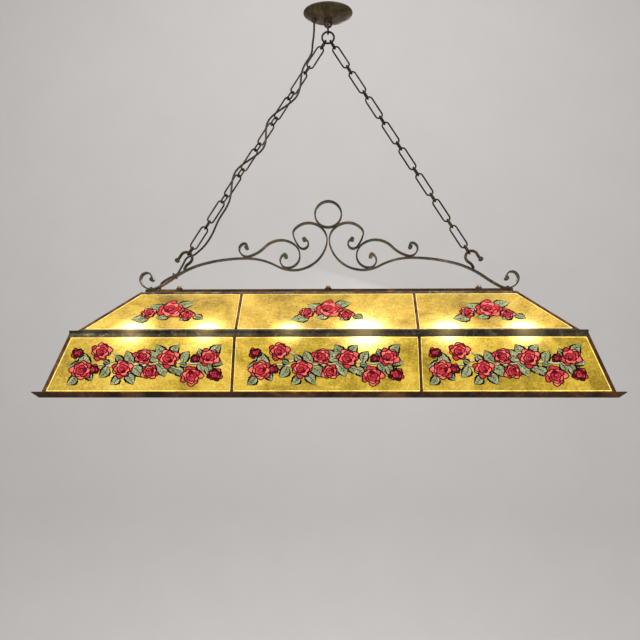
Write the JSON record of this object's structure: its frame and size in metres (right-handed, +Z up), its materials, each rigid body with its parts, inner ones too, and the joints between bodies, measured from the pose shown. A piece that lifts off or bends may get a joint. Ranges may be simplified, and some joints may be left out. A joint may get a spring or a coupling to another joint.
{
  "type": "pool table lamp",
  "caption": "Long hanging lamp for a pool table: two-tier amber glass shade with roses, scrolled iron crest, and two chains meeting at a ceiling canopy.",
  "frame": {"origin": "middle of the canopy's ceiling face", "axes": "+Z up, +X to the right along the lamp seen from the front, the front faces -Y"},
  "size_m": [1.219, 0.508, 0.9368],
  "materials": {
    "amber_glass": "satin",
    "bulb_glass": "gloss",
    "patina_iron": "satin",
    "bronzed_steel": "satin",
    "brass_shell": "satin",
    "plated_steel": "satin",
    "cord_jacket": "matte",
    "black_plastic": "matte"
  },
  "bodies": {
    "canopy": {"canopy_cover": "patina_iron", "ceiling_crossbar": "plated_steel", "canopy_loop": "patina_iron", "canopy_nuts": "brass_shell", "canopy_bushing": "black_plastic"},
    "hanger": {"hanger_link": "patina_iron", "cord_top": "cord_jacket"},
    "chains": {"carrier_ring": "patina_iron", "left_long_links": "patina_iron", "left_short_links": "patina_iron", "right_long_links": "patina_iron", "right_short_links": "patina_iron", "cord_chain": "cord_jacket"},
    "shade": {"chain_hook_left": "patina_iron", "chain_hook_right": "patina_iron", "cluster_bodies": "brass_shell", "cluster_stems": "brass_shell", "cord_grommet": "black_plastic", "cord_shade": "cord_jacket", "cord_tie": "black_plastic", "crest_ring": "patina_iron", "inner_wires": "cord_jacket", "lamp_sockets": "brass_shell", "long_scroll_left": "patina_iron", "long_scroll_right": "patina_iron", "lower_hips": "bronzed_steel", "lower_mullions": "bronzed_steel", "lower_panel_back_centre": "amber_glass", "lower_panel_back_left": "amber_glass", "lower_panel_back_right": "amber_glass", "lower_panel_front_centre": "amber_glass", "lower_panel_front_left": "amber_glass", "lower_panel_front_right": "amber_glass", "lower_panel_left": "amber_glass", "lower_panel_right": "amber_glass", "mid_rail": "bronzed_steel", "rim": "bronzed_steel", "scroll_foot_screws": "patina_iron", "small_scroll_left": "patina_iron", "small_scroll_right": "patina_iron", "spine_bar": "bronzed_steel", "stem_nuts": "brass_shell", "top_frame": "bronzed_steel", "upper_hips": "bronzed_steel", "upper_mullions": "bronzed_steel", "upper_panel_back_centre": "amber_glass", "upper_panel_back_left": "amber_glass", "upper_panel_back_right": "amber_glass", "upper_panel_front_centre": "amber_glass", "upper_panel_front_left": "amber_glass", "upper_panel_front_right": "amber_glass", "upper_panel_left": "amber_glass", "upper_panel_right": "amber_glass"},
    "bulb_1": {"bulb_1": "bulb_glass"},
    "bulb_2": {"bulb_2": "bulb_glass"},
    "bulb_3": {"bulb_3": "bulb_glass"},
    "bulb_4": {"bulb_4": "bulb_glass"},
    "bulb_5": {"bulb_5": "bulb_glass"},
    "bulb_6": {"bulb_6": "bulb_glass"}
  },
  "joints": [
    {"name": "swing_front_back", "type": "hinge", "parent": "canopy", "child": "hanger", "pos_m": [0, 0, -0.0375], "axis": [1, 0, 0], "range_deg": [-20, 20], "deforming": ["cord_top"]},
    {"name": "swing_sideways", "type": "hinge", "parent": "hanger", "child": "chains", "pos_m": [0, 0, -0.05385], "axis": [0, 1, 0], "range_deg": [-15, 15], "deforming": ["cord_top"]},
    {"name": "shade_tilt", "type": "hinge", "parent": "chains", "child": "shade", "pos_m": [0, 0, -0.59801], "axis": [1, 0, 0], "range_deg": [-10, 10]},
    {"name": "bulb_1_unscrew", "type": "slide", "parent": "shade", "child": "bulb_1", "axis": [-0.809, 0, -0.5878], "range_m": [0, 0.022]},
    {"name": "bulb_2_unscrew", "type": "slide", "parent": "shade", "child": "bulb_2", "axis": [0.809, 0, -0.5878], "range_m": [0, 0.022]},
    {"name": "bulb_3_unscrew", "type": "slide", "parent": "shade", "child": "bulb_3", "axis": [-0.809, 0, -0.5878], "range_m": [0, 0.022]},
    {"name": "bulb_4_unscrew", "type": "slide", "parent": "shade", "child": "bulb_4", "axis": [0.809, 0, -0.5878], "range_m": [0, 0.022]},
    {"name": "bulb_5_unscrew", "type": "slide", "parent": "shade", "child": "bulb_5", "axis": [-0.809, 0, -0.5878], "range_m": [0, 0.022]},
    {"name": "bulb_6_unscrew", "type": "slide", "parent": "shade", "child": "bulb_6", "axis": [0.809, 0, -0.5878], "range_m": [0, 0.022]}
  ]
}
